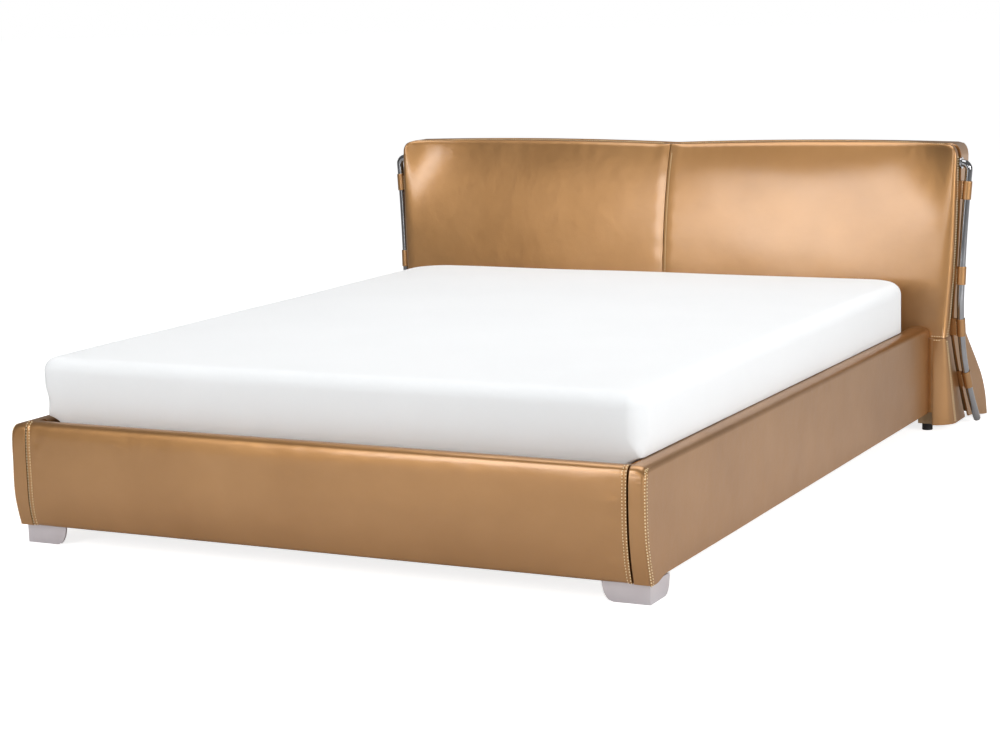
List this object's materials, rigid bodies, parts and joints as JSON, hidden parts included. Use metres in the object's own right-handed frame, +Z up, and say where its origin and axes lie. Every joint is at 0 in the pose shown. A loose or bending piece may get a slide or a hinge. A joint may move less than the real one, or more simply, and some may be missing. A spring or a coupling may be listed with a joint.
{
  "type": "waterbed",
  "caption": "Upholstered double bed with padded winged headboard, side tubes, pedestal base and soft-sided heated water mattress.",
  "frame": {"origin": "on the floor, under the middle of the bed's box", "axes": "+Z up, +Y from the foot to the head, +X to the right seen from the foot"},
  "size_m": [1.9756, 2.536, 0.875],
  "materials": {
    "gold_leather": "satin",
    "timber": "matte",
    "silver_foot": "satin",
    "black_plastic": "matte",
    "grey_plastic": "satin",
    "chrome": "polished",
    "steel": "satin",
    "white_cloth": "matte",
    "foam": "matte",
    "core_vinyl": "satin",
    "liner_vinyl": "satin",
    "heater_rubber": "matte",
    "circuit": "satin"
  },
  "bodies": {
    "root": {"circuit_board": "circuit", "control_housing": "black_plastic", "corner_bolt_front_left": "steel", "corner_bolt_front_right": "steel", "corner_bolt_rear_left": "steel", "corner_bolt_rear_right": "steel", "corner_bracket_front_left": "steel", "corner_bracket_front_right": "steel", "corner_bracket_rear_left": "steel", "corner_bracket_rear_right": "steel", "deck_panel_left": "timber", "deck_panel_right": "timber", "foam_frame": "foam", "footboard_board": "timber", "footboard_cover": "gold_leather", "front_foot_left": "silver_foot", "front_foot_right": "silver_foot", "headboard_bottom_rail": "timber", "headboard_cushion_left": "gold_leather", "headboard_cushion_right": "gold_leather", "headboard_post_left": "timber", "headboard_post_right": "timber", "headboard_shell": "gold_leather", "headboard_side_panel_left": "gold_leather", "headboard_side_panel_right": "gold_leather", "headboard_top_rail": "timber", "heater_pad": "heater_rubber", "mattress_base_cover": "white_cloth", "mattress_top_cover": "white_cloth", "pedestal_board_foot": "timber", "pedestal_board_head": "timber", "pedestal_board_left": "timber", "pedestal_board_middle": "timber", "pedestal_board_right": "timber", "rear_foot_left": "black_plastic", "rear_foot_right": "black_plastic", "safety_liner": "liner_vinyl", "side_rail_board_left": "timber", "side_rail_board_right": "timber", "side_rail_cover_left": "gold_leather", "side_rail_cover_right": "gold_leather", "side_tube_left": "chrome", "side_tube_right": "chrome", "tube_loop_left_1": "gold_leather", "tube_loop_left_2": "gold_leather", "tube_loop_left_3": "gold_leather", "tube_loop_left_4": "gold_leather", "tube_loop_right_1": "gold_leather", "tube_loop_right_2": "gold_leather", "tube_loop_right_3": "gold_leather", "tube_loop_right_4": "gold_leather", "tube_socket_left": "chrome", "tube_socket_right": "chrome", "water_core": "core_vinyl"},
    "zip_slider": {"zip_slider": "steel"},
    "valve_cap": {"valve_cap": "black_plastic"},
    "temperature_dial": {"temperature_dial": "grey_plastic"},
    "power_rocker": {"power_rocker": "grey_plastic"}
  },
  "joints": [
    {"name": "zip_slide", "type": "slide", "parent": "root", "child": "zip_slider", "axis": [0, -1, 0], "range_m": [0, 1.82]},
    {"name": "cap_turn", "type": "hinge", "parent": "root", "child": "valve_cap", "pos_m": [-0.35, 0.3955, 0.437], "axis": [0, 0, 1], "range_deg": [0, 540]},
    {"name": "dial_turn", "type": "hinge", "parent": "root", "child": "temperature_dial", "pos_m": [0.6453, 0.2635, 0.14], "axis": [1, 0, 0], "range_deg": [-135, 135]},
    {"name": "rocker_tilt", "type": "hinge", "parent": "root", "child": "power_rocker", "pos_m": [0.6468, 0.3315, 0.14], "axis": [0, 0, 1], "range_deg": [0, 16]}
  ]
}
